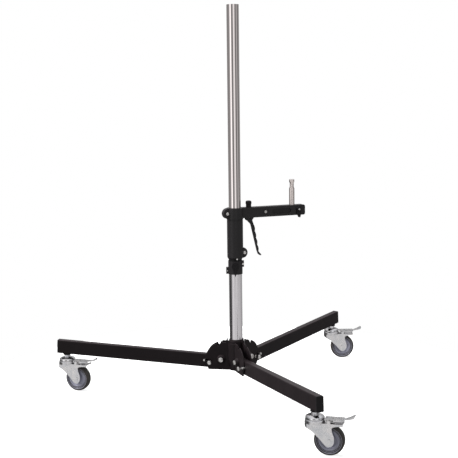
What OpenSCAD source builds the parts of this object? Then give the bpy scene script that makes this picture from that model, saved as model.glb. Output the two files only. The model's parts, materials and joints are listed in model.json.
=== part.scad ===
// Rolling column stand: telescoping column, sliding arm with a spigot, three folding legs on
// braked castors. Origin on the floor under the column's axis, +Z up, arm along +X.

/* [Column] */
// Height of the top of the column above the floor
column_top = 1128; // [1000:1:1300]
// Outer diameter of the chromed upper tube
upper_d = 35; // [35:0.5:35.5]
// Wall thickness of the upper tube
upper_wall = 1.5; // [1:0.1:3]
// Outer diameter of the lower tube
lower_d = 38; // [38:0.5:39]
// Height of the lower tube's top, inside the clamp collar
lower_top = 383; // [380:1:383]

/* [Legs] */
// Distance from the column's axis to each leg's pivot
pivot_s = 43; // [42:0.5:44]
// Height of the leg pivots
pivot_z = 110.8; // [110:0.1:112]
// Angle at which the legs rise outwards
leg_rise = 3.73; // [3:0.01:4]
// Length of a leg from its pivot to its tip
leg_l = 501; // [501:1:560]
// Depth of the rectangular leg tube
leg_h = 40; // [38:1:40]
// Width of the rectangular leg tube
leg_w = 20; // [18:1:20]
// Distance of a leg's centre line below its pivot
leg_drop = 10.2; // [10:0.1:10.4]
// Wall thickness of the leg tube
leg_wall = 2; // [1.5:0.1:2.5]
// Distance from the column's axis to each castor's swivel axis
castor_s = 516; // [512:1:517]

/* [Castors] */
// Wheel radius
wheel_r = 38.5; // [36:0.5:38.5]
// Tyre width
wheel_w = 23; // [20:0.5:24]
// Horizontal distance from the swivel axis to the wheel's axle
trail = 36; // [35.5:0.5:36.5]
// Top of the castor's fixed raceway
race_top = 101; // [100:0.5:101.5]

/* [Arm] */
// Height of the arm's underside
arm_z = 525.5; // [525:0.1:526]
// Height of the arm's section
arm_h = 29.7; // [29:0.1:30]
// Width of the arm's section
arm_w = 24; // [24:0.5:26]
// Reach of the arm from the column's axis
arm_l = 218.5; // [216:0.5:240]
// Diameter of the spigot
spigot_d = 16; // [15:0.1:16.2]
// Distance from the column's axis to the spigot
spigot_x = 181; // [178:1:182]
// Height of the spigot's top
spigot_top = 630.2; // [625:0.1:650]
// Outer diameter of the sliding sleeve
sleeve_d = 46.2; // [45:0.2:47]
// Height of the sleeve's foot
sleeve_z = 405.9; // [405:0.1:407]

/* [Hidden] */
$fn = 64;
fit = 0.07;        // radial running clearance of a sliding or turning pair
gap = 0.3;         // space between neighbouring bodies

LEGS = ["front", "right", "left"];
leg_azimuth = [-90, 30, 150];
castor_turn = [-36, -21, -42];     // way each castor trails
LEG_PIECES = ["leg_tube", "leg_cap", "lock_pin", "lock_spring", "castor_boss", "castor_stem",
              "castor_fork", "castor_pins", "tyre", "wheel_core", "brake_pedal"];

// Hub
hub_z = 78.5;                      // underside of the hub
socket_r = 22;                     // outer radius of the tube socket
socket_top = 170;
saddle_ri = socket_r + 0.4;        // inner radius of the saddle of a hub plate
plate_t = 3;
wing_y = leg_w / 2 + gap;          // inner face of a hub plate's wing
wing_s = 19.5;                     // inner edge of a wing, from the column's axis
wing_top = 160.6;
sector_r = 46.9;                   // radius of the locking sector round the pivot
pin_r = 3;                         // locking pin
pin_drop = 7;                      // pin's distance below the pivot, square to the leg
lock_in = 41.5;                    // pin's distance along the leg when engaged
lock_out = 49.8;                   // and when withdrawn
fold_angle = 84;                   // travel of a leg from open to folded
bolt_r = 4;                        // M8 bolts of the hub
spacer_l = 8.7;                    // spacer between a wing and the pivot bolt's head
pivot_y = wing_y + plate_t + spacer_l;
corner_bolt = [77, 101.7];         // in the leg's XZ plane

// Column
upper_r = upper_d / 2;
lower_r = lower_d / 2;
upper_foot = 170;                  // lower end of the upper tube
socket_floor = 84;
front_azimuth = -111.7;            // side of the clamp collar that carries its lever
collar_z = 363.3;
collar_step = 383.3;
collar_top = 402;
collar_r = 20.8;
collar_lever_z = 390;
collar_lever_r = 24.4;             // distance of the lever's inner face from the axis

// Carriage
ring_r = 24.2;
ring_z = 523.5;
ring_top = 555.5;
sleeve_r = sleeve_d / 2;
slide_r = upper_r + 0.4;           // bore of the sleeve's ends round the column
bush_r = 20;
bush_z = [441, 520.5];
foot_screw_z = 408.6;
ear_x = 25.6;                      // roller axles, from the column's axis
ear_r = 15.3;
ear_w = 17;
roller_r = ear_x - upper_r - gap;
roller_w = 8;
upper_ear_z = 540.1;
lower_ear_z = 424.7;
lever_x = 43;                      // pivot of the brake lever
lever_z = 523;
head_w = 16;                       // width of the lever's head
pocket_w = head_w + 2 * 0.4;
arm_mid = arm_z + arm_h / 2;
cross_bolt_x = 92;
recess = [112.5, 173.5];
shank_r = 7.4;                     // spigot's shank inside the arm
lock_x = 197.2;
lock_z = 543;

// Castor heights
crown_z = 80.5;                    // underside of the fork's crown
crown_t = 2.5;
drum_top = 89.4;                   // top of the fork's turning raceway
head_r = 24;                       // radius of the fixed raceway
skirt_r = 25.8;                    // radius of the fork's round front
boss_z = 107.8;                    // underside of the boss under the leg
fork_in = 14.2;                    // half of the space between the fork's cheeks
fork_t = 2.4;
pedal_x = 36;                      // pivot of the brake pedal
pedal_z = 87.6;

black = [0.06, 0.06, 0.065];
zinc = [0.78, 0.8, 0.82];

// ---------- frames ----------
// +X outwards along leg i, on the floor
module at_leg(i) rotate([0, 0, leg_azimuth[i]]) children();

// +X along leg i, from its pivot
module on_leg(i) at_leg(i) translate([pivot_s, 0, pivot_z]) rotate([0, -leg_rise, 0]) children();

// On the floor under leg i's swivel axis, with +X the way the castor trails
module at_castor(i)
    translate([castor_s * cos(leg_azimuth[i]), castor_s * sin(leg_azimuth[i]), 0])
    rotate([0, 0, castor_turn[i]]) children();

// ---------- shapes ----------
// Cylinder along Y, centred on the given point of the XZ plane
module y_cyl(x, z, r, w, y = 0, sides = 64)
    translate([x, y, z]) rotate([90, 0, 0]) cylinder(r = r, h = w, center = true, $fn = sides);

// Outline in the XZ plane given as a child, made w wide along Y
module side_plate(w, y = 0) translate([0, y, 0]) rotate([90, 0, 0])
    linear_extrude(w, center = true) children();

module tube(ro, ri, z0, z1) difference() {
    translate([0, 0, z0]) cylinder(r = ro, h = z1 - z0);
    translate([0, 0, z0 - 1]) cylinder(r = ri, h = z1 - z0 + 2);
}

module rounded_rect(a, b, r) {
    square([a - 2 * r, b], center = true);
    square([a, b - 2 * r], center = true);
    for (x = [-1, 1], y = [-1, 1]) translate([x * (a / 2 - r), y * (b / 2 - r)]) circle(r);
}

// Bar along X with a rounded rectangular section
module bar(x0, x1, w, h, r) translate([x0, 0, 0]) rotate([90, 0, 90])
    linear_extrude(x1 - x0) rounded_rect(w, h, r);

// Round-ended slot between two places on the X axis, cut along Y
module y_slot(x0, x1, r, w) {
    y_cyl(x0, 0, r, w);
    y_cyl(x1, 0, r, w);
    translate([x0, -w / 2, -r]) cube([x1 - x0, w, 2 * r]);
}

// Compression spring along +Z: one closed tube swept round a helix
module spring(r, wire, length, turns) {
    steps = 14;
    sides = 6;
    rings = [for (k = [0:turns * steps])
        let (a = 360 * k / steps, z = length * k / (turns * steps))
        [for (j = [0:sides - 1])
            let (q = 360 * j / sides, d = r + wire * cos(q))
            [d * cos(a), d * sin(a), z + wire * sin(q)]]];
    last = len(rings) - 1;
    points = [for (ring = rings) each ring];
    walls = [for (k = [0:last - 1]) for (j = [0:sides - 1])
        let (n = (j + 1) % sides)
        each [[k * sides + j, (k + 1) * sides + j, (k + 1) * sides + n],
              [k * sides + j, (k + 1) * sides + n, k * sides + n]]];
    first_end = [for (j = [0:sides - 1]) j];
    last_end = [for (j = [0:sides - 1]) last * sides + sides - 1 - j];
    polyhedron(points, concat([first_end, last_end], walls));
}

// ---------- hub ----------
// Side of a hub plate's wing, in the leg's XZ plane
module wing_outline() difference() {
    union() {
        intersection() {
            translate([pivot_s, pivot_z]) circle(sector_r);
            translate([wing_s, hub_z]) square([80, 100]);
        }
        translate([wing_s, pivot_z]) square([pivot_s - wing_s, wing_top - pivot_z]);
        polygon([[wing_s, hub_z], [81.5, hub_z], [88.2, 97], [pivot_s, pivot_z], [wing_s, pivot_z]]);
    }
    for (angle = [leg_rise, leg_rise + fold_angle])
        translate([pivot_s, pivot_z]) rotate(angle) translate([lock_in, -pin_drop]) {
            circle(pin_r + 0.2);
            translate([0, -pin_r - 0.2]) square([20, 2 * pin_r + 0.4]);
            polygon([[2.5, pin_r], [9.5, pin_r + 5], [14, pin_r + 5], [14, -pin_r - 5],
                     [9.5, -pin_r - 5], [2.5, -pin_r]]);
        }
    translate([pivot_s, pivot_z]) circle(bolt_r + 0.2);
    translate(corner_bolt) circle(bolt_r + 0.1);
}

// Formed plate between leg i and the next one round
module hub_plate(i) color(black) {
    edge = asin(wing_y / saddle_ri) + 1.1;
    rotate([0, 0, leg_azimuth[i] + edge]) rotate_extrude(angle = 120 - 2 * edge)
        translate([saddle_ri, hub_z + 1.5]) square([plate_t, 78]);
    at_leg(i) side_plate(plate_t, wing_y + plate_t / 2) {
        wing_outline();
        // spike beside the column
        polygon([[21, 156], [32, 156], [28.2, 163], [25.8, 175], [24.9, 176.3], [24, 175], [22.4, 164]]);
    }
    rotate([0, 0, leg_azimuth[i] + 120])
        side_plate(plate_t, -wing_y - plate_t / 2) wing_outline();
}

// Socket that holds the lower column tube; the three plates are welded round it
module hub_socket() color(black) difference() {
    union() {
        translate([0, 0, hub_z]) cylinder(r = socket_r, h = socket_top - 6 - hub_z);
        translate([0, 0, socket_top - 6]) cylinder(r1 = socket_r, r2 = socket_r - 2, h = 6);
    }
    translate([0, 0, socket_floor]) cylinder(r = lower_r + 0.02, h = 100);
}

// Tapered spacers that hold the pivot bolts' heads and nuts off the wings
module pivot_spacers() color(black) for (i = [0:2], side = [-1, 1]) at_leg(i)
    translate([pivot_s, side * (pivot_y - spacer_l + 0.02), pivot_z]) rotate([-90 * side, 0, 0])
    rotate_extrude() polygon([[bolt_r + 0.1, 0], [13, 0], [9, spacer_l - 0.1],
                              [bolt_r + 0.1, spacer_l - 0.1]]);

// Studs with round heads at the outer corner of every wing, clear of the leg inside
module corner_bolts() color(zinc) for (i = [0:2], side = [-1, 1]) at_leg(i)
    translate([corner_bolt[0], side * (wing_y + 0.05), corner_bolt[1]]) rotate([-90 * side, 0, 0])
    rotate_extrude() polygon([[0, 0], [bolt_r, 0], [bolt_r, plate_t], [2.6, plate_t], [2.6, 12.6],
        [5.6, 12.8], [6.4, 14], [6.2, 17], [5, 18.8], [3, 19.6], [0, 19.8]]);

// Leg pivots: a bolt across each pair of wings, with its head on the leg's right
module pivot_bolts() color(zinc) for (i = [0:2]) at_leg(i) {
    y_cyl(pivot_s, pivot_z, bolt_r, 2 * pivot_y + 7, 3);
    y_cyl(pivot_s, pivot_z, 7.6, 1.4, -pivot_y - 0.7);
    y_cyl(pivot_s, pivot_z, 7, 4.8, -pivot_y - 3.8, 6);
}

module pivot_nuts() color(zinc) for (i = [0:2]) at_leg(i) difference() {
    y_cyl(pivot_s, pivot_z, 7.3, 5.4, pivot_y + 2.75, 6);
    y_cyl(pivot_s, pivot_z, bolt_r + 0.02, 12, pivot_y + 2.75);
}

// ---------- column ----------
module lower_column() color([0.82, 0.82, 0.83])
    tube(lower_r, upper_r + fit, socket_floor + 0.1, lower_top);

module upper_column() color([0.75, 0.75, 0.77])
    tube(upper_r, upper_r - upper_wall, upper_foot, column_top);

// Plug in the top of the upper tube
module column_cap() color(black)
    translate([0, 0, column_top - 14]) cylinder(r = upper_r - upper_wall - 0.02, h = 13.4);

// Split clamp: the lower tier grips the lower tube, the upper tier the upper tube
module clamp_collar() color(black) {
    lug_w = 15;
    difference() {
        union() {
            translate([0, 0, collar_z]) cylinder(r = collar_r, h = collar_top - collar_z);
            rotate([0, 0, front_azimuth + 90]) translate([15, -lug_w / 2, collar_step + 1])
                cube([10, lug_w, 17]);
            rotate([0, 0, front_azimuth - 90]) translate([15, -lug_w / 2, collar_z + 1])
                cube([11.8, lug_w, 18]);
            rotate([0, 0, front_azimuth]) translate([15, -9, collar_lever_z - 9]) cube([8.9, 18, 18]);
        }
        translate([0, 0, collar_z - 1]) cylinder(r = lower_r + 0.02, h = lower_top + 2.2 - collar_z);
        translate([0, 0, collar_z]) cylinder(r = upper_r + fit, h = 60);
        // splits through the two lugs
        rotate([0, 0, front_azimuth + 90]) translate([10, -0.8, collar_step]) cube([30, 1.6, 40]);
        rotate([0, 0, front_azimuth - 90]) translate([10, -0.8, collar_z - 1]) cube([30, 1.6, 20]);
        // holes of the lug screws and of the lever's stub
        rotate([0, 0, front_azimuth + 90]) y_cyl(22.3, 393, 1.6, 40);
        rotate([0, 0, front_azimuth - 90]) y_cyl(23.4, 373, 1.6, 40);
        rotate([0, 0, front_azimuth]) translate([10, 0, collar_lever_z]) rotate([0, 90, 0])
            cylinder(r = 4 + fit, h = 30);
    }
}

// Cap screws across the lugs
module collar_screws() color(zinc) for (lug = [[90, 22.3, 393], [-90, 23.4, 373]])
    rotate([0, 0, front_azimuth + lug[0]]) {
        y_cyl(lug[1], lug[2], 1.5, 17);
        y_cyl(lug[1], lug[2], 2.8, 3, -9.05);
    }

// Pointed clamp lever hanging at the collar's front, on a radial stub
module collar_lever() color(black) rotate([0, 0, front_azimuth]) {
    reach = 32;
    hub = 10.5;
    side = acos(hub / reach);
    translate([collar_lever_r, 0, collar_lever_z]) rotate([90, 0, 90]) linear_extrude(6) {
        circle(hub);
        polygon([[hub * sin(side), -hub * cos(side)], [0, -reach], [-hub * sin(side), -hub * cos(side)]]);
    }
    translate([lower_r + 0.4, 0, collar_lever_z]) rotate([0, 90, 0]) cylinder(r = 4, h = 7);
}

// ---------- carriage ----------
// Nylon bush that slides on the column and lets the carriage turn
module guide_bush() color([0.9, 0.9, 0.86]) tube(bush_r, upper_r + fit, bush_z[0], bush_z[1]);

// Space for a roller, open towards the column on the side given
module roller_pocket(z, side) {
    r = roller_r + 0.6;
    w = roller_w + 0.8;
    y_cyl(side * ear_x, z, r, w);
    translate([side * ear_x - (side > 0 ? 14 : 0), -w / 2, z - r]) cube([14, w, 2 * r]);
}

module roller_ear(z, side, reach) {
    y_cyl(side * (reach - ear_r), z, ear_r, ear_w);
    translate([side > 0 ? 10 : ear_r - reach, -ear_w / 2, z - ear_r])
        cube([reach - ear_r - 10, ear_w, 2 * ear_r]);
}

// Hole of a roller's axle, with a seat cut for the bolt's head and nut
module axle_hole(z, side) {
    y_cyl(side * ear_x, z, 3.05, 30);
    for (face = [-1, 1]) y_cyl(side * ear_x, z, 6.2, 12, face * (ear_w / 2 + 6));
}

module slide_sleeve() color(black) difference() {
    union() {
        translate([0, 0, sleeve_z]) cylinder(r1 = sleeve_r - 3.8, r2 = sleeve_r, h = 6.8);
        translate([0, 0, sleeve_z + 6.8]) cylinder(r = sleeve_r, h = ring_z - sleeve_z - 6.8);
        roller_ear(lower_ear_z, 1, 35.2);
    }
    translate([0, 0, sleeve_z - 10]) cylinder(r = slide_r, h = 140);
    translate([0, 0, bush_z[0] - gap]) cylinder(r = bush_r + fit, h = 140);
    roller_pocket(lower_ear_z, 1);
    axle_hole(lower_ear_z, 1);
    rotate([0, 0, front_azimuth + 14]) translate([10, 0, foot_screw_z]) rotate([0, 90, 0])
        cylinder(r = 2.25, h = 20);
}

// Ring, arm, upper roller ear and the brake lever's lugs, in one casting
module arm_casting() color(black) difference() {
    union() {
        translate([0, 0, ring_z]) cylinder(r = ring_r, h = ring_top - ring_z);
        roller_ear(upper_ear_z, -1, 37.2);
        side_plate(arm_w) translate([(15 + arm_l) / 2, arm_mid])
            rounded_rect(arm_l - 15, arm_h, 5);
        side_plate(arm_w) polygon([[20, arm_z], [20, ring_top], [40, arm_z + arm_h], [40, arm_z]]);
        for (side = [-1, 1]) side_plate((arm_w - pocket_w) / 2, side * (arm_w + pocket_w) / 4) {
            translate([lever_x, lever_z]) circle(8);
            polygon([[lever_x - 8, lever_z], [lever_x - 8, arm_z + 2], [lever_x + 13, arm_z + 2],
                     [lever_x + 6, lever_z - 5]]);
        }
        translate([lever_x, 0, arm_z + arm_h - 1]) cylinder(r = 9, h = 2);
    }
    translate([0, 0, ring_z - 5]) cylinder(r = slide_r, h = 60);
    roller_pocket(upper_ear_z, -1);
    axle_hole(upper_ear_z, -1);
    // pocket of the brake lever's head, open below and towards the column
    translate([10, -pocket_w / 2, arm_z - 15]) cube([48, pocket_w, 37]);
    y_cyl(lever_x, lever_z, 2.5, 60);
    translate([lever_x, 0, arm_z]) cylinder(r = 3 + fit, h = 50);
    y_cyl(cross_bolt_x, arm_mid, bolt_r + 0.1, 60);
    // seats of the cross bolt and recesses in both faces
    for (side = [-1, 1]) {
        y_cyl(cross_bolt_x, arm_mid, 9, 4, side * (arm_w / 2 + 1));
        translate([0, side * (arm_w / 2 - 1), arm_mid]) y_slot(recess[0] + 7, recess[1] - 7, 7, 4);
    }
    // grooves round the end block
    for (side = [-1, 1]) translate([203.5, side * arm_w / 2, arm_mid])
        cube([1, 1, arm_h + 10], center = true);
    translate([spigot_x, 0, arm_z + 4]) cylinder(r = shank_r + 0.03, h = 60);
    translate([0, -arm_w / 2, 0]) y_cyl(lock_x, lock_z, 2.05, 24);
}

module roller(x, z) color([0.85, 0.85, 0.82]) difference() {
    y_cyl(x, z, roller_r, roller_w);
    y_cyl(x, z, 3 + fit, roller_w + 2);
}

module roller_upper() roller(-ear_x, upper_ear_z);

module roller_lower() roller(ear_x, lower_ear_z);

// Roller axles with their heads on the -Y side
module roller_bolts() color(zinc) for (place = [[-ear_x, upper_ear_z], [ear_x, lower_ear_z]]) {
    y_cyl(place[0], place[1], 3, 21, 1.5);
    y_cyl(place[0], place[1], 5, 3.4, -ear_w / 2 - 1.75, 6);
    y_cyl(place[0], place[1], 5, 3, ear_w / 2 + 1.55, 6);
}

// Trigger lever: its head turns in the arm's pocket, its grip hangs beside the sleeve
module brake_lever() color(black) {
    grip_w = 11;
    outer = [[57.5, 505], [72.3, 425]];
    waves = 4;
    steps = 6;
    scallops = [for (k = [0:waves * steps])
        let (t = k / (waves * steps))
        [outer[0][0] + t * (outer[1][0] - outer[0][0]) + 2.2 * abs(sin(180 * waves * t)) - 1.4,
         outer[0][1] + t * (outer[1][1] - outer[0][1])]];
    difference() {
        union() {
            side_plate(head_w) translate([lever_x, lever_z]) {
                circle(7.6);
                // short arm that carries the shoe, beside the spring's seat
                polygon([[5, 3], [5, 8.3], [-5.2, 8.3], [-9, 17], [-21.5, 19.5], [-21.5, 10.5], [-8, 2]]);
            }
            side_plate(grip_w) polygon(concat(
                [[lever_x - 6.5, lever_z - 4], [49.8, 505], [68.8, 426], [72.5, 416], [77, 412.5],
                 [80.3, 412.8], [78.5, 416.5], [74.2, 421]],
                [for (k = [len(scallops) - 1:-1:0]) scallops[k]], [[lever_x + 7.6, lever_z]]));
        }
        y_cyl(lever_x, lever_z, 2.5 + fit, 40);
    }
}

// Pad on the lever's short arm, just clear of the column
module brake_shoe() color([0.3, 0.12, 0.1]) difference() {
    translate([15, -7, lever_z + 10.7]) cube([lever_x - 21.55 - 15, 14, 8.6]);
    translate([0, 0, lever_z]) cylinder(r = upper_r + gap, h = 40);
}

// Spring between the lever's head and the tension screw
module brake_spring() color(zinc)
    translate([lever_x, 0, lever_z + 9.5]) spring(4, 0.7, 13.6, 5);

// Screw with a domed knob that sets the brake's tension
module tension_knob() color(black) translate([lever_x, 0, 0]) {
    base = arm_z + arm_h + 1.4;
    translate([0, 0, arm_z + 21.6]) cylinder(r = 3, h = 12);
    translate([0, 0, base]) rotate_extrude() polygon([[0, 0], [7.8, 0], [7.8, 8.2], [8.5, 8.6],
        [8.8, 9.6], [8.6, 14.4], [7.6, 16.4], [5.8, 17.5], [3, 18], [0, 18]]);
}

// Stud with an undercut neck, on a thinner shank inside the arm
module spigot() color([0.86, 0.84, 0.82]) translate([spigot_x, 0, 0]) {
    r = spigot_d / 2;
    foot = arm_z + arm_h + 0.05;
    rotate_extrude() polygon([[0, arm_z + 4.1], [shank_r, arm_z + 4.1], [shank_r, foot], [r, foot],
        [r, spigot_top - 27.2], [r - 2, spigot_top - 21.2], [r - 2, spigot_top - 10.7],
        [r - 0.3, spigot_top - 7.2], [r - 0.3, spigot_top - 0.8], [r - 1.1, spigot_top], [0, spigot_top]]);
}

// Cam lever on the arm's -Y face that locks the spigot
module spigot_lock() color(black) difference() {
    union() {
        y_cyl(lock_x, lock_z, 7, 5, -arm_w / 2 - gap - 2.5);
        side_plate(4, -arm_w / 2 - gap - 2) translate([lock_x, lock_z]) polygon([[-6.7, -2],
            [-7.2, -11.5], [-1.7, -23.5], [3.3, -25], [5.3, -21], [6.3, -2]]);
    }
    y_cyl(lock_x, lock_z, 2 + fit, 60);
}

// Cross bolt of the arm, pin of the brake lever, screws of the spigot lock and the sleeve's foot
module arm_bolts() color(zinc) {
    y_cyl(cross_bolt_x, arm_mid, bolt_r, arm_w);
    y_cyl(cross_bolt_x, arm_mid, 6.4, 3, arm_w / 2 + 0.55, 6);
    y_cyl(lever_x, lever_z, 2.48, arm_w - 3);
    y_cyl(lock_x, lock_z, 2, 15.2, -arm_w / 2 + 2);
    y_cyl(lock_x, lock_z, 3, 1, -arm_w / 2 - 5.9);
    rotate([0, 0, front_azimuth + 14]) translate([upper_r + 0.6, 0, foot_screw_z]) rotate([0, 90, 0])
        cylinder(r = 2.2, h = 3.1);
}

// Soft ring under the sleeve that meets the clamp collar
module buffer_ring() color(black) tube(19, slide_r, collar_top + gap, sleeve_z - 0.05);

// ---------- legs, one of each for every leg i ----------
// Rectangular tube, open at the inner end that turns between the wings
module leg_tube(i) color(black) {
    inner = -15;
    tip = leg_l - 3;
    difference() {
        on_leg(i) difference() {
            translate([0, 0, -leg_drop]) bar(inner, tip, leg_w, leg_h, 2.5);
            difference() {
                translate([0, 0, -leg_drop])
                    bar(inner - 5, tip + 5, leg_w - 2 * leg_wall, leg_h - 2 * leg_wall, 1.5);
                // seat of the lock spring
                translate([79, -leg_w, -2 * leg_h]) cube([2, 2 * leg_w, 4 * leg_h]);
            }
            y_cyl(0, 0, bolt_r + fit, leg_w + 2);
            translate([0, 0, -pin_drop]) y_slot(lock_in - gap, lock_out + gap, pin_r + fit, leg_w + 2);
        }
        at_castor(i) translate([0, 0, 100]) cylinder(r = 6.05, h = 22);
    }
}

module leg_cap(i) color([0.05, 0.05, 0.05]) on_leg(i) translate([0, 0, -leg_drop]) {
    bar(leg_l - 3, leg_l, leg_w, leg_h, 2.5);
    bar(leg_l - 15, leg_l - 2.9, leg_w - 2 * leg_wall - 0.1, leg_h - 2 * leg_wall - 0.1, 1.4);
}

// Cross pin, drawn out of the sector's notches
module lock_pin(i) color(zinc) on_leg(i) translate([lock_out, 0, -pin_drop]) rotate([90, 0, 0])
    rotate_extrude() polygon([[0, -22.4], [1.6, -22.4], [pin_r, -21], [pin_r, 21], [1.6, 22.4], [0, 22.4]]);

module lock_spring(i) color(zinc) on_leg(i)
    translate([lock_out + pin_r + 1, 0, -pin_drop]) rotate([0, 90, 0]) spring(5, 0.7, 24.3, 5);

// Wedge between the leg's underside and the castor's stem
module castor_boss(i) color([0.05, 0.05, 0.05]) difference() {
    at_castor(i) tube(12, 6.05, boss_z, boss_z + 12);
    on_leg(i) translate([420, -30, -leg_drop - leg_h / 2]) cube([80, 60, 40]);
}

// Threaded stem with its nut, the fixed raceway and the kingpin, riveted below the fork
module castor_stem(i) color(zinc) at_castor(i) {
    rotate_extrude() polygon([[0, 75.6], [6, 75.6], [8.5, 77], [8.5, 78.2], [5, 78.2], [5, drum_top + gap],
        [head_r - 1.2, drum_top + gap], [head_r, drum_top + 1.6], [head_r, drum_top + 5],
        [head_r - 1.4, drum_top + 7.4], [head_r - 6, race_top - 1.6], [head_r - 10, race_top],
        [10.5, race_top], [10.5, race_top + 1.6], [6, race_top + 1.6], [6, 129], [0, 129]]);
    translate([0, 0, race_top + 1.5]) cylinder(r = 9.6, h = boss_z - race_top - 1.6, $fn = 6);
    translate([0, 0, 114.4]) cylinder(r = 7.7, h = 6.5, $fn = 6);
}

// Cheek of the fork, in the XZ plane
module cheek_outline() polygon([[-19.2, crown_z + crown_t], [-19.2, 69.7], [-3, 59.6], [15, 42],
    [22, 33.4], [28.6, 26.4], [35, 23.7], [41.4, 25.2], [46.8, 30.4], [49.2, 37], [49.2, 49], [46.6, 56.4],
    [44, 63], [43, 72], [47, 75.2], [56, 77.2], [70.7, 78], [70.7, crown_z + crown_t]]);

module castor_fork(i) color(zinc) at_castor(i) difference() {
    outer = fork_in + fork_t;
    union() {
        for (side = [-1, 1]) side_plate(fork_t, side * (fork_in + fork_t / 2)) {
            cheek_outline();
            // ear of the brake pedal's pivot
            translate([pedal_x, pedal_z]) circle(4);
            translate([pedal_x - 4, crown_z]) square([8, pedal_z - crown_z]);
        }
        // crown with a turned-up rear edge and a round skirt in front
        translate([0, 0, crown_z]) linear_extrude(crown_t) {
            circle(skirt_r);
            translate([0, -outer]) square([70.7, 2 * outer]);
        }
        translate([68.5, -outer, crown_z]) cube([2.2, 2 * outer, 4.5]);
        intersection() {
            tube(skirt_r, skirt_r - fork_t, 60, crown_z + 1);
            side_plate(60) polygon([[-30, 74], [-26, 74], [-18.4, 69.2], [-18.4, 85], [-30, 85]]);
        }
        rotate_extrude() polygon([[0, 78.5], [head_r - 4, 78.5], [head_r + 0.4, 81], [head_r + 1.2, 83],
            [head_r + 1.2, drum_top - 1.6], [head_r - 0.4, drum_top], [0, drum_top]]);
    }
    translate([0, 0, 70]) cylinder(r = 5 + fit, h = 30);
    translate([40, -8, 70]) cube([13, 16, 20]);
    y_cyl(trail, wheel_r, 4.02, 60);
    y_cyl(pedal_x, pedal_z, 2.02, 60);
}

// Wheel axle and pedal pivot, riveted over both cheeks
module castor_pins(i) color(zinc) at_castor(i) {
    outer = fork_in + fork_t;
    y_cyl(trail, wheel_r, 4, 2 * outer + 1);
    for (side = [-1, 1]) y_cyl(trail, wheel_r, 5.6, 1.6, side * (outer + 0.85));
    y_cyl(pedal_x, pedal_z, 2, 2 * outer + 1);
    for (side = [-1, 1]) y_cyl(pedal_x, pedal_z, 3, 0.8, side * (outer + 0.45));
}

// Turned section about the wheel's axle
module on_axle(i) at_castor(i) translate([trail, 0, wheel_r]) rotate([90, 0, 0])
    rotate_extrude($fn = 96) children();

module tyre(i) color([0.25, 0.25, 0.26]) on_axle(i) {
    half = wheel_w / 2;
    polygon([[26.5, -half + 1.5], [29, -half], [35, -half], [37.3, -half + 2], [wheel_r, -half + 6],
             [wheel_r, half - 6], [37.3, half - 2], [35, half], [29, half], [26.5, half - 1.5]]);
}

module wheel_core(i) color([0.5, 0.5, 0.54]) on_axle(i) {
    half = wheel_w / 2;
    hub = fork_in - gap;
    polygon([[4 + fit, -hub], [8.5, -hub], [9.5, -7], [19, -6], [21, -half + 1.6], [26.48, -half + 1.6],
             [26.48, half - 1.6], [21, half - 1.6], [19, 6], [9.5, 7], [8.5, hub], [4 + fit, hub]]);
}

// Brake pedal: plate with three holes, a pivot flange each side, a tongue over the tyre
module brake_pedal(i) color(zinc) at_castor(i) {
    half = fork_in - 0.8;
    plate_z = pedal_z + 3.6;
    difference() {
        union() {
            translate([25.2, -half, plate_z]) cube([46.8, 2 * half, 2]);
            for (side = [-1, 1]) side_plate(2, side * (half - 1)) {
                translate([pedal_x, pedal_z]) circle(3);
                translate([pedal_x - 7, pedal_z - 1]) square([18, 5]);
            }
            translate([45, -6, 77.8]) cube([3, 12, plate_z - 77]);
            side_plate(10) polygon([[71, plate_z], [71, plate_z + 2], [77, plate_z + 2.8],
                [77, plate_z + 0.8]]);
            side_plate(16) polygon([[76, plate_z + 0.7], [76, plate_z + 2.7], [84, plate_z + 5.4],
                [98.4, plate_z + 12.8], [99.4, plate_z + 11], [85, plate_z + 3.6]]);
        }
        y_cyl(pedal_x, pedal_z, 2 + fit, 60);
        for (x = [29.4, 44, 59.4]) translate([x, 0, plate_z - 5]) cylinder(r = 2.8, h = 10);
    }
}

hub_plate(1);  // hub_plate_back
hub_plate(2);  // hub_plate_left
hub_plate(0);  // hub_plate_right
hub_socket();
pivot_spacers();
corner_bolts();
pivot_bolts();
pivot_nuts();
lower_column();
clamp_collar();
collar_lever();
collar_screws();
upper_column();
column_cap();
guide_bush();
slide_sleeve();
arm_casting();
roller_upper();
roller_lower();
roller_bolts();
brake_lever();
brake_shoe();
brake_spring();
tension_knob();
spigot();
spigot_lock();
arm_bolts();
buffer_ring();
for (i = [0:2]) {
    leg_tube(i);
    leg_cap(i);
    lock_pin(i);
    lock_spring(i);
    castor_boss(i);
    castor_stem(i);
    castor_fork(i);
    castor_pins(i);
    tyre(i);
    wheel_core(i);
    brake_pedal(i);
}
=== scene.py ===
import json
import math

import bmesh
import bpy
from mathutils import Matrix, Vector


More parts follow.
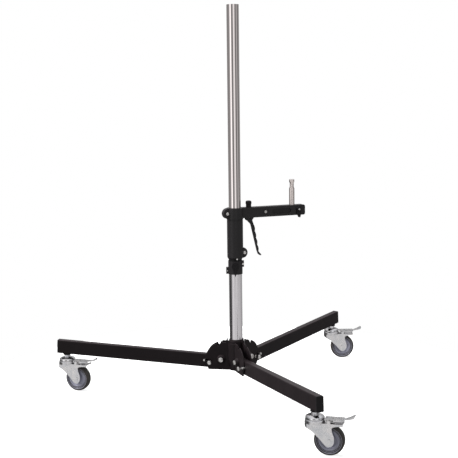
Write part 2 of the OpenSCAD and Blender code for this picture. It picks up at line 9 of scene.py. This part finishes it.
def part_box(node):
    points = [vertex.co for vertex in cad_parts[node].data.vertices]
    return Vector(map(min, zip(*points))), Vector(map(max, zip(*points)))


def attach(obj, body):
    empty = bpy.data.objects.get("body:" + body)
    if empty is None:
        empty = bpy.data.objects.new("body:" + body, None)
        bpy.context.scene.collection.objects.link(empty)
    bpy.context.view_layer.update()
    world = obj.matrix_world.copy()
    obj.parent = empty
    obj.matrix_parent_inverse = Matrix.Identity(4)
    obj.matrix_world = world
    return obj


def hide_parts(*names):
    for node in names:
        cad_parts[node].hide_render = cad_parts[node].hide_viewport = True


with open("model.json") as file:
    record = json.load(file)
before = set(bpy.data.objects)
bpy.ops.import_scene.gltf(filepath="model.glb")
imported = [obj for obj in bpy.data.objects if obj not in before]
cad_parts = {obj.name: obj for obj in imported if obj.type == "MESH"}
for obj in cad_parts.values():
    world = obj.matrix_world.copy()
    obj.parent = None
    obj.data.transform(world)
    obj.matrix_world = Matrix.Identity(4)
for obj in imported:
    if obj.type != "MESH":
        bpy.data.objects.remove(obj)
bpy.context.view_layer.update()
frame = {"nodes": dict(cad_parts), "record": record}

nodes = frame["nodes"]
LEGS = ("front", "right", "left")

# ---------------------------------------------------------------- camera
CAMERA_AZIMUTH = math.radians(-111.7)   # where the camera stands, seen from the column
CAMERA_DISTANCE = 2.751
CAMERA_HEIGHT = 0.870
CAMERA_YAW = math.radians(-0.36)
CAMERA_PITCH = math.radians(7.78)
CAMERA_ROLL = math.radians(-0.68)
FOCAL_IN_FRAMES = 2.0997                # focal length over the width of the picture
SENSOR = 36.0                           # width in mm
FAR_CLIP = 60.0


def make_camera():
    """The photograph's camera, fitted to the stand's straight edges and wheels."""
    data = bpy.data.cameras.new("camera")
    data.sensor_width = SENSOR
    data.lens = FOCAL_IN_FRAMES * SENSOR
    data.clip_end = FAR_CLIP
    camera = bpy.data.objects.new("camera", data)
    bpy.context.scene.collection.objects.link(camera)
    heading = CAMERA_AZIMUTH + math.pi - CAMERA_YAW
    forward = Vector((math.cos(heading) * math.cos(CAMERA_PITCH),
                      math.sin(heading) * math.cos(CAMERA_PITCH), -math.sin(CAMERA_PITCH)))
    right = Vector((math.sin(heading), -math.cos(heading), 0))
    up = right.cross(forward)
    across = math.cos(CAMERA_ROLL) * right + math.sin(CAMERA_ROLL) * up
    upward = math.cos(CAMERA_ROLL) * up - math.sin(CAMERA_ROLL) * right
    turn = Matrix((across, upward, -forward)).transposed()
    place = Vector((math.cos(CAMERA_AZIMUTH), math.sin(CAMERA_AZIMUTH), 0)) * CAMERA_DISTANCE
    place.z = CAMERA_HEIGHT
    camera.matrix_world = Matrix.Translation(place) @ turn.to_4x4()
    bpy.context.scene.camera = camera


# ---------------------------------------------------------------- studio
FLOOR_RADIUS = 0.86
FLOOR_SIDES = 96
FLOOR_TONE = 0.35
FLOOR_GLOW = 0.84
WHITE = (1, 1, 1, 1)
AIM_HEIGHT = 0.45                       # height on the column's axis that every light faces
# Name; angle to the left (-) or right (+) of the camera and elevation, in degrees; distance and
# side, in metres; power, in watts
LIGHTS = (("key", -95, 32, 3.2, 1.6, 190), ("fill", 60, 30, 3.4, 1.6, 9),
          ("top", 0, 88, 3.0, 2.0, 210))
DIFFUSE_WORLD = 0.25                    # brightness of the world for matte surfaces
MIRROR_RANGE = 2.0                      # brightness of the world's ramps at their full value
# Heights (Z) of a direction: over the first pair the lower bands give way to the upper ones,
# and over the second those give way to one pale ceiling
HORIZON = (-0.155, -0.135)
CEILING = (0.45, 0.75)
CEILING_COLOR = (0.42, 0.42, 0.43, 1)   # as a share of MIRROR_RANGE
# Brightness of the studio as a mirror sees it, by angle to the left (-) or right (+) of the camera
STUDIO_BANDS = ((-180, 0.50), (-150, 0.30), (-100, 0.26), (-76, 0.30), (-60, 0.75), (-50, 1.60),
                (-40, 1.45), (-31, 0.45), (-12, 0.16), (-3, 0.20), (5, 0.98), (26, 0.95), (37, 0.30),
                (50, 0.12), (60, 0.30), (68, 0.62), (76, 0.45), (90, 0.16), (130, 0.35), (180, 0.50))
# The same for directions below the horizon, which the lower tube and the castors mirror
LOWER_BANDS = ((-180, 0.30), (-135, 0.10), (-96, 0.03), (-80, 0.03), (-58, 0.66), (-46, 0.76),
               (-8, 0.70), (20, 0.66), (60, 0.62), (100, 0.50), (150, 0.30), (180, 0.30))


def make_floor():
    """Pale disc under the stand. The stand isn't lit by it and doesn't mirror it."""
    mesh = bpy.data.meshes.new("floor")
    turns = [2 * math.pi * k / FLOOR_SIDES for k in range(FLOOR_SIDES)]
    ring = [(FLOOR_RADIUS * math.cos(turn), FLOOR_RADIUS * math.sin(turn), 0) for turn in turns]
    mesh.from_pydata(ring, [], [tuple(range(FLOOR_SIDES))])
    floor = bpy.data.objects.new("floor", mesh)
    bpy.context.scene.collection.objects.link(floor)
    material = bpy.data.materials.new("floor")
    material.use_nodes = True
    shader = material.node_tree.nodes["Principled BSDF"]
    shader.inputs["Base Color"].default_value = (FLOOR_TONE, FLOOR_TONE, FLOOR_TONE, 1)
    shader.inputs["Roughness"].default_value = 0.9
    shader.inputs["Specular IOR Level"].default_value = 0.1
    shader.inputs["Emission Color"].default_value = WHITE
    shader.inputs["Emission Strength"].default_value = FLOOR_GLOW
    mesh.materials.append(material)
    floor.visible_glossy = False
    floor.visible_diffuse = False


def make_light(name, azimuth, elevation, distance, side, power):
    """Square soft light that matte surfaces see and mirrors don't."""
    data = bpy.data.lights.new(name, "AREA")
    data.shape = "RECTANGLE"
    data.size = data.size_y = side
    data.energy = power
    light = bpy.data.objects.new(name, data)
    bpy.context.scene.collection.objects.link(light)
    bearing = CAMERA_AZIMUTH + math.radians(azimuth)
    lift = math.radians(elevation)
    aim = Vector((0, 0, AIM_HEIGHT))
    away = Vector((math.cos(bearing) * math.cos(lift), math.sin(bearing) * math.cos(lift),
                   math.sin(lift)))
    place = aim + distance * away
    light.matrix_world = (Matrix.Translation(place)
                          @ (place - aim).to_track_quat("Z", "Y").to_matrix().to_4x4())
    light.visible_glossy = False


def make_world():
    """White to the camera, one even level to matte surfaces, and bands of light to mirrors."""
    world = bpy.data.worlds.new("studio")
    bpy.context.scene.world = world
    world.use_nodes = True
    tree = world.node_tree
    tree.nodes.clear()
    new, link = tree.nodes.new, tree.links.new
    where = new("ShaderNodeTexCoord")
    split = new("ShaderNodeSeparateXYZ")
    link(where.outputs["Generated"], split.inputs[0])

    def way_round():
        """How far round a direction is, as a share of a turn: 0.5 is towards the camera."""
        angle = new("ShaderNodeMath")
        angle.operation = "ARCTAN2"
        link(split.outputs["Y"], angle.inputs[0])
        link(split.outputs["X"], angle.inputs[1])
        turned = new("ShaderNodeMath")
        turned.operation = "MULTIPLY_ADD"
        turned.inputs[1].default_value = 1 / (2 * math.pi)
        turned.inputs[2].default_value = 0.5 - CAMERA_AZIMUTH / (2 * math.pi)
        link(angle.outputs[0], turned.inputs[0])
        wrapped = new("ShaderNodeMath")
        wrapped.operation = "FRACT"
        link(turned.outputs[0], wrapped.inputs[0])
        return wrapped.outputs[0]

    turn = way_round()

    def ramp(bands):
        """The bands' brightness as a share of MIRROR_RANGE."""
        node = new("ShaderNodeValToRGB")
        while len(node.color_ramp.elements) < len(bands):
            node.color_ramp.elements.new(0.5)
        for element, (degrees, level) in zip(node.color_ramp.elements, bands):
            share = level / MIRROR_RANGE
            element.position = degrees / 360 + 0.5
            element.color = (share, share, share, 1)
        link(turn, node.inputs[0])
        return node.outputs[0]

    def by_height(limits):
        """0 below the first height of a direction, 1 above the second."""
        node = new("ShaderNodeMapRange")
        node.inputs["From Min"].default_value, node.inputs["From Max"].default_value = limits
        link(split.outputs["Z"], node.inputs["Value"])
        return node.outputs[0]

    def background(strength):
        node = new("ShaderNodeBackground")
        node.inputs["Color"].default_value = WHITE
        node.inputs["Strength"].default_value = strength
        return node

    around = new("ShaderNodeMix")
    around.data_type = "RGBA"
    link(by_height(HORIZON), around.inputs["Factor"])
    link(ramp(LOWER_BANDS), around.inputs["A"])
    link(ramp(STUDIO_BANDS), around.inputs["B"])
    ceiling = new("ShaderNodeMix")
    ceiling.data_type = "RGBA"
    ceiling.inputs["B"].default_value = CEILING_COLOR
    link(by_height(CEILING), ceiling.inputs["Factor"])
    link(around.outputs["Result"], ceiling.inputs["A"])

    mirror = background(MIRROR_RANGE)
    matte = background(DIFFUSE_WORLD)
    seen = background(1.0)
    link(ceiling.outputs["Result"], mirror.inputs["Color"])
    path = new("ShaderNodeLightPath")

    def choose(kind, otherwise, then):
        """One background for a kind of ray and another for the rest."""
        node = new("ShaderNodeMixShader")
        link(path.outputs[kind], node.inputs[0])
        link(otherwise.outputs[0], node.inputs[1])
        link(then.outputs[0], node.inputs[2])
        return node

    unseen = choose("Is Glossy Ray", matte, mirror)
    surface = choose("Is Camera Ray", unseen, seen)
    link(surface.outputs[0], new("ShaderNodeOutputWorld").inputs["Surface"])


# ---------------------------------------------------------------- materials
PATCH_SCALE = 8                         # patches of colour are this many times the grain's size
EVEN_NOISE = (0.3, 0.7)                 # range that noise mostly stays in
SMOOTHEST = 0.02
BUMP_STRENGTH = 0.6


def make_material(name, color, roughness, metallic=0.0, spread=0.1, grain=400.0, stretch=(1, 1, 1),
                  rough_spread=0.08, bump=0.00003, bump_grain=900.0, tint=None, specular=0.5):
    """A surface whose colour, roughness and height vary on two scales of noise."""
    material = bpy.data.materials.new(name)
    material.use_nodes = True
    tree = material.node_tree
    new, link = tree.nodes.new, tree.links.new
    shader = tree.nodes["Principled BSDF"]
    shader.inputs["Metallic"].default_value = metallic
    shader.inputs["Specular IOR Level"].default_value = specular
    where = new("ShaderNodeTexCoord")
    scaled = new("ShaderNodeMapping")
    scaled.inputs["Scale"].default_value = stretch
    link(where.outputs["Object"], scaled.inputs["Vector"])

    def noise(scale, detail):
        node = new("ShaderNodeTexNoise")
        node.inputs["Scale"].default_value = scale
        node.inputs["Detail"].default_value = detail
        link(scaled.outputs[0], node.inputs["Vector"])
        return node.outputs["Fac"]

    tone = new("ShaderNodeMix")
    tone.data_type = "RGBA"
    dark = [c * (1 - spread) for c in color]
    light = [min(1, c * (1 + spread)) for c in (tint or color)]
    tone.inputs["A"].default_value = (*dark, 1)
    tone.inputs["B"].default_value = (*light, 1)
    link(noise(grain / PATCH_SCALE, detail=4), tone.inputs["Factor"])
    link(tone.outputs["Result"], shader.inputs["Base Color"])
    rough = new("ShaderNodeMapRange")
    rough.inputs["From Min"].default_value, rough.inputs["From Max"].default_value = EVEN_NOISE
    rough.inputs["To Min"].default_value = max(SMOOTHEST, roughness - rough_spread)
    rough.inputs["To Max"].default_value = roughness + rough_spread
    link(noise(grain, detail=5), rough.inputs["Value"])
    link(rough.outputs[0], shader.inputs["Roughness"])
    raised = new("ShaderNodeBump")
    raised.inputs["Strength"].default_value = BUMP_STRENGTH
    raised.inputs["Distance"].default_value = bump
    link(noise(bump_grain, detail=3), raised.inputs["Height"])
    link(raised.outputs[0], shader.inputs["Normal"])
    return material


# Each surface by its material slot; anything left out is make_material's own value
SURFACES = {
    "column_chrome": dict(
        color=(0.81, 0.745, 0.735), roughness=0.07, metallic=1.0, spread=0.04, grain=300,
        stretch=(1, 1, 0.04), rough_spread=0.03, bump=0.000004, bump_grain=700),
    "column_aluminium": dict(
        color=(0.78, 0.75, 0.77), roughness=0.16, metallic=1.0, spread=0.06, grain=500,
        stretch=(1, 1, 0.03), rough_spread=0.05, bump=0.000006),
    "black_paint": dict(
        color=(0.0165, 0.013, 0.0142), roughness=0.34, spread=0.25, grain=160, rough_spread=0.06,
        bump_grain=1400, specular=0.09),
    "cast_black": dict(
        color=(0.016, 0.0145, 0.0155), roughness=0.44, spread=0.3, grain=200, bump=0.00006,
        bump_grain=1100, specular=0.32),
    "black_plastic": dict(
        color=(0.013, 0.012, 0.013), roughness=0.42, spread=0.2, grain=200, rough_spread=0.06,
        bump_grain=1600, specular=0.16),
    "zinc_steel": dict(
        color=(0.66, 0.63, 0.6), roughness=0.26, metallic=1.0, spread=0.15, grain=900, bump=0.00002,
        tint=(0.74, 0.73, 0.72)),
    "castor_zinc": dict(
        color=(0.6, 0.63, 0.68), roughness=0.24, metallic=1.0, grain=500, bump=0.000005, bump_grain=500,
        tint=(0.84, 0.8, 0.78)),
    "spigot_steel": dict(
        color=(0.82, 0.74, 0.71), roughness=0.2, metallic=1.0, spread=0.05, grain=300,
        stretch=(1, 1, 0.2), rough_spread=0.04, bump=0.000003, bump_grain=700),
    "tyre_grey": dict(
        color=(0.055, 0.049, 0.046), roughness=0.55, spread=0.25, grain=500, bump=0.00005,
        specular=0.4),
    "wheel_core_grey": dict(
        color=(0.5, 0.5, 0.61), roughness=0.36, spread=0.12, grain=500, rough_spread=0.06,
        bump=0.00002),
    "nylon": dict(
        color=(0.7, 0.68, 0.6), roughness=0.5, spread=0.06, grain=200, rough_spread=0.06),
    "shoe_lining": dict(
        color=(0.1, 0.05, 0.035), roughness=0.8, spread=0.3, grain=500, rough_spread=0.05, bump=0.0001,
        bump_grain=700),
    "buffer_rubber": dict(
        color=(0.008, 0.008, 0.008), roughness=0.6, spread=0.2, grain=200, rough_spread=0.06,
        bump=0.00005, specular=0.3),
}
MATERIALS = {slot: make_material(slot, **look) for slot, look in SURFACES.items()}


# ---------------------------------------------------------------- carried-over nodes
# Width of the softened edges, in metres, by the start of a node's name. The first that fits counts.
EDGES = {"arm_casting": 0.0012, "slide_sleeve": 0.0010, "clamp_collar": 0.0009,
         "brake_lever": 0.0016, "spigot_lock": 0.0009, "collar_lever": 0.0012,
         "hub_plate": 0.0006, "pivot_spacers": 0.0008, "leg_tube": 0.0003, "leg_cap": 0.0007,
         "castor_fork": 0.0005, "brake_pedal": 0.0004, "castor_stem": 0.0004,
         "castor_boss": 0.0005, "castor_pins": 0.0004, "tension_knob": 0.0006,
         "collar_screws": 0.0004, "spigot": 0.0003, "lower_column": 0.0003}
WELD_DISTANCE = 0.000002
BEVEL_STEPS = 2
FLATTEST_EDGE = math.radians(32)        # edges that turn less than this keep their shape
LARGE_FACE_WEIGHT = 80


def soften(node, width):
    """Rounded edges that catch the light, with shading weighted to the large faces."""
    weld = node.modifiers.new("weld", "WELD")
    weld.merge_threshold = WELD_DISTANCE
    bevel = node.modifiers.new("edges", "BEVEL")
    bevel.width = width
    bevel.segments = BEVEL_STEPS
    bevel.limit_method = "ANGLE"
    bevel.angle_limit = FLATTEST_EDGE
    bevel.use_clamp_overlap = True
    shade = node.modifiers.new("shade", "WEIGHTED_NORMAL")
    shade.weight = LARGE_FACE_WEIGHT


def dress_cad_nodes():
    """Each CAD node gets its slot's material, and softened edges where EDGES names it."""
    slots = {part["node"]: part["material_slot"] for part in frame["record"]["subparts"]}
    for name, node in nodes.items():
        node.data.materials.clear()
        node.data.materials.append(MATERIALS[slots[name]])
        for start, width in EDGES.items():
            if name.startswith(start):
                soften(node, width)
                break


# ---------------------------------------------------------------- pieces
JOINTS = {joint["name"]: joint for joint in frame["record"]["behaviour"]["joints"]}


def along(origin, axis, across=(0, 0, 1)):
    """Placement whose +Z runs along axis and whose +X is as near across as it can be."""
    z = Vector(axis).normalized()
    x = Vector(across) - Vector(across).dot(z) * z
    x = x.normalized() if x.length > 1e-6 else z.orthogonal().normalized()
    turn = Matrix((x, z.cross(x), z)).transposed().to_4x4()
    return Matrix.Translation(Vector(origin)) @ turn


def hexagon(angle):
    """Radius of a unit hexagon's side at an angle, over the radius at its corners."""
    part = angle % (math.pi / 3) - math.pi / 6
    return math.cos(math.pi / 6) / math.cos(part)


def lathe(profile, sides=48, hexes=(), closed=False):
    """Vertices and faces of a profile of (radius, height) in mm turned about +Z.
    The rings named in hexes are hexagonal; a closed profile is a ring with a bore."""
    verts, faces = [], []
    for k, (radius, height) in enumerate(profile):
        for j in range(sides):
            angle = 2 * math.pi * j / sides
            reach = radius * (hexagon(angle) if k in hexes else 1) / 1000
            verts.append((reach * math.cos(angle), reach * math.sin(angle), height / 1000))
    rows = len(profile)
    for k in range(rows if closed else rows - 1):
        for j in range(sides):
            a, b = k * sides + j, k * sides + (j + 1) % sides
            c, d = (k + 1) % rows * sides + (j + 1) % sides, (k + 1) % rows * sides + j
            faces.append((a, b, c, d))
    if not closed:
        faces.append(tuple(reversed(range(sides))))
        faces.append(tuple((rows - 1) * sides + j for j in range(sides)))
    return verts, faces


def make_piece(name, shapes, body, slot, replaced, sharp=35.0):
    """One mesh from (matrix, verts, faces) shapes, riding on a body.
    Its edges are smooth unless they turn by sharp degrees or more."""
    bm = bmesh.new()
    for matrix, verts, faces in shapes:
        made = [bm.verts.new(matrix @ Vector(v)) for v in verts]
        for face in faces:
            bm.faces.new([made[k] for k in face])
    bmesh.ops.recalc_face_normals(bm, faces=bm.faces)
    for edge in bm.edges:
        edge.smooth = edge.is_boundary or edge.calc_face_angle(0) < math.radians(sharp)
    for face in bm.faces:
        face.smooth = True
    mesh = bpy.data.meshes.new(name)
    bm.to_mesh(mesh)
    bm.free()
    mesh.materials.append(MATERIALS[slot])
    piece = bpy.data.objects.new(name, mesh)
    bpy.context.scene.collection.objects.link(piece)
    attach(piece, body)
    if replaced:
        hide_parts(*replaced)
    return piece


def mirrored(side):
    """A profile given for one side of a wheel, continued on the other side."""
    return list(side) + [(r, -h) for r, h in reversed(side) if h > 0]


# Profiles of one side of a wheel, as (radius, height) in mm from the wheel's middle plane
TYRE_SIDE = ((26.7, 8.8), (27.3, 9.6), (30.9, 10.1), (31.7, 10.9), (32.7, 11.3), (33.6, 11.3),
             (34.1, 10.7), (34.8, 10.9), (36.0, 10.4), (37.3, 8.8), (38.05, 6.6), (38.4, 3.6),
             (38.5, 0))
CORE_SIDE = ((4.1, 13.9), (8.0, 13.9), (8.5, 13.4), (8.7, 9.4), (9.6, 7.8), (11.5, 7.1), (16.8, 6.7),
             (17.8, 7.4), (18.6, 8.9), (19.6, 9.2), (20.4, 8.3), (21.4, 8.2), (22.2, 9.6),
             (23.6, 10.1), (24.8, 9.9), (25.5, 8.9), (26.6, 8.9))
# Profiles of the raised lines moulded on the wall of the tyre. They take the core's light grey, which
# is a painted highlight along each rib
TYRE_RIB_HIGHLIGHTS = (((28.1, 9.7), (28.3, 10.3), (28.9, 10.4), (29.1, 9.8)),
              ((31.3, 10.5), (31.5, 11.2), (32.3, 11.45), (32.6, 11.2)))
WHEEL_SIDES = 96
TYRE_SHARP = 25.0                       # make_piece's sharp, in degrees
CORE_SHARP = 30.0


def leg_point(leg, out, aside, up):
    """The place so many mm outwards, to the leg's left and up from the leg's pivot."""
    x, y, z = JOINTS[f"fold_{leg}"]["pos_m"]
    outward = Vector((x, y, 0)).normalized()
    left = Vector((-outward.y, outward.x, 0))
    return Vector((x, y, z)) + (out * outward + aside * left + Vector((0, 0, up))) / 1000


# Profiles of the fasteners, as (radius, height) in mm, and which of their rings are hexagonal
PIVOT_BOLT = ((3.3, -28.5), (4.0, -27.9), (4.0, 22.0), (7.4, 22.0), (7.6, 22.2), (7.6, 23.2),
              (7.4, 23.4), (6.7, 23.5), (6.9, 24.0), (6.9, 25.4), (6.4, 26.8), (5.4, 27.8), (4.4, 28.2),
              (3.5, 28.3), (3.2, 28.1), (3.2, 25.4))
PIVOT_BOLT_HEXES = (14, 15)             # the socket
CAP_NUT = ((4.02, 22.1), (7.1, 22.1), (7.3, 22.3), (7.3, 24.6), (6.9, 26.2), (6.0, 27.2), (5.0, 27.5),
           (4.4, 27.3), (4.02, 26.6))
CAP_NUT_HEXES = (1, 2, 3)               # the flats under the dome
CORNER_STUD = ((3.8, 0.1), (4.0, 0.3), (4.0, 3.0), (2.6, 3.05), (2.6, 12.6), (5.2, 12.7),
               (6.0, 13.2), (6.4, 14.2), (6.3, 16.6), (5.6, 18.2), (4.4, 19.3), (2.8, 19.75),
               (1.2, 19.8))
ROLLER_BOLT = ((2.6, -12.0), (3.0, -11.7), (4.4, -11.6), (5.0, -11.2), (5.0, -8.6), (3.0, -8.6),
               (3.0, 8.5), (4.9, 8.5), (5.0, 8.7), (5.0, 10.4), (4.4, 11.4), (3.3, 11.9), (2.5, 12.0),
               (2.3, 11.8), (2.3, 10.2))
ROLLER_BOLT_HEXES = (2, 3, 4, 13, 14)   # the nut and the socket
LOCK_ROD = ((0.6, -22.4), (1.8, -22.2), (2.6, -21.6), (3.0, -20.8), (3.0, -19.2), (2.6, -18.9),
            (2.6, -18.1), (3.0, -17.8), (3.0, 17.8), (2.6, 18.1), (2.6, 18.9), (3.0, 19.2),
            (3.0, 20.8), (2.6, 21.6), (1.8, 22.2), (0.6, 22.4))
LEVER_PLUG = ((2.2, 10.55), (2.44, 10.7), (2.44, 11.6), (2.1, 12.0), (1.0, 12.2))
CORNER_PLACE = (34.0, 10.35, -9.1)      # from the pivot: outwards, aside and up, in mm


def make_hub_bolts():
    """The legs' pivot screws with their nuts, and two studs beside each leg."""
    pivots, nuts, corners = [], [], []
    out, aside, up = CORNER_PLACE
    for leg in LEGS:
        fold = JOINTS[f"fold_{leg}"]
        pivots.append((along(fold["pos_m"], fold["axis"]), *lathe(PIVOT_BOLT, hexes=PIVOT_BOLT_HEXES)))
        place = along(fold["pos_m"], -Vector(fold["axis"]))
        nuts.append((place, *lathe(CAP_NUT, hexes=CAP_NUT_HEXES, closed=True)))
        for side in (-1, 1):
            place = along(leg_point(leg, out, side * aside, up), -side * Vector(fold["axis"]))
            corners.append((place, *lathe(CORNER_STUD)))
    make_piece("pivot_screws", pivots, "base", "zinc_steel", ["pivot_bolts"])
    make_piece("pivot_cap_nuts", nuts, "base", "zinc_steel", ["pivot_nuts"])
    make_piece("corner_studs", corners, "base", "zinc_steel", ["corner_bolts"])


def make_lock_rod(leg):
    """The leg's lock pin, centred on the CAD pin's box."""
    low, high = (Vector(corner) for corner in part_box(f"lock_pin_{leg}"))
    place = along((low + high) / 2, JOINTS[f"fold_{leg}"]["axis"])
    make_piece(f"lock_rod_{leg}", [(place, *lathe(LOCK_ROD, sides=40))], f"pin_{leg}", "zinc_steel",
               [f"lock_pin_{leg}"])


def make_roller_screws():
    """The screws that the two guide rollers turn on."""
    shapes = [(along(JOINTS[f"{name}_roller_spin"]["pos_m"], (0, -1, 0)),
               *lathe(ROLLER_BOLT, hexes=ROLLER_BOLT_HEXES)) for name in ("upper", "lower")]
    make_piece("roller_screws", shapes, "carriage", "zinc_steel", ["roller_bolts"])


def make_lever_plugs():
    """Black plugs over both ends of the brake lever's pin, inside the arm's holes for it."""
    pivot = JOINTS["brake_squeeze"]["pos_m"]
    shapes = [(along(pivot, (0, side, 0)), *lathe(LEVER_PLUG, sides=32)) for side in (-1, 1)]
    make_piece("lever_pin_plugs", shapes, "carriage", "black_plastic", [])


def castor_place(leg):
    """Frame of a castor: +X the way it trails, on the floor under the swivel axis."""
    x, y, _ = JOINTS[f"swivel_{leg}"]["pos_m"]
    ahead = Vector(JOINTS[f"spin_{leg}"]["pos_m"]) - Vector((x, y, 0))
    return along((x, y, 0), (0, 0, 1), (ahead.x, ahead.y, 0))


def slab(outline, y0, y1):
    """Vertices and faces of an outline of (x, z) in mm, between two places along Y."""
    count = len(outline)
    verts = [(x / 1000, y / 1000, z / 1000) for y in (y0, y1) for x, z in outline]
    faces = [tuple(range(count)), tuple(reversed(range(count, 2 * count)))]
    for k in range(count):
        n = (k + 1) % count
        faces.append((k, k + count, n + count, n))
    return verts, faces


# Outlines of the pedal's turned-down edges, as (x, z) in mm in the castor's frame
PEDAL_SKIRT = ((27, 86.8), (46, 86.8), (66, 89.7), (72, 90.8), (72, 93.2), (27, 93.2))
PADDLE_SIDE = ((79, 93.2), (88, 94.4), (97.4, 96.8), (98.6, 103.6), (90, 99.4), (84, 96.4),
               (77.6, 94.2))
# Each outline with its inner and outer distance from the castor's middle, in mm
PEDAL_SIDES = ((PEDAL_SKIRT, 12.2, 13.4), (PADDLE_SIDE, 6.6, 8.0))
PEDAL_EDGE = 0.0004


def make_pedal_sides(leg):
    """Turned-down edges of the pedal and of its raised tip."""
    place = castor_place(leg)
    shapes = [(place, *slab(outline, side * inner, side * outer))
              for outline, inner, outer in PEDAL_SIDES
              for side in (-1, 1)]
    piece = make_piece(f"pedal_sides_{leg}", shapes, f"pedal_{leg}", "castor_zinc", [])
    bevel = piece.modifiers.new("edges", "BEVEL")
    bevel.width = PEDAL_EDGE
    bevel.segments = BEVEL_STEPS


def make_wheel(leg):
    """The tyre, and the core with the raised lines on the tyre's walls. The lines take the core's light
    grey, which is a painted highlight along the ribs.
    """
    spin = JOINTS[f"spin_{leg}"]
    place = along(spin["pos_m"], spin["axis"])
    make_piece(f"tyre_tread_{leg}", [(place, *lathe(mirrored(TYRE_SIDE), WHEEL_SIDES, closed=True))],
               f"wheel_{leg}", "tyre_grey", [f"tyre_{leg}"], TYRE_SHARP)
    shapes = [(place, *lathe(mirrored(CORE_SIDE), WHEEL_SIDES, closed=True))]
    # The ribs in the core's light grey are a painted highlight on the dark tyre
    for line in TYRE_RIB_HIGHLIGHTS:
        for side in (-1, 1):
            profile = [(r, side * h) for r, h in line]
            shapes.append((place, *lathe(profile, WHEEL_SIDES, closed=True)))
    make_piece(f"wheel_disc_and_rib_highlights_{leg}", shapes, f"wheel_{leg}", "wheel_core_grey",
               [f"wheel_core_{leg}"], CORE_SHARP)


# ---------------------------------------------------------------- scene
make_camera()
make_world()
make_floor()
for light in LIGHTS:
    make_light(*light)
bpy.context.scene.view_settings.view_transform = "Standard"
dress_cad_nodes()
make_hub_bolts()
make_roller_screws()
make_lever_plugs()
for leg in LEGS:
    make_lock_rod(leg)
    make_wheel(leg)
    make_pedal_sides(leg)
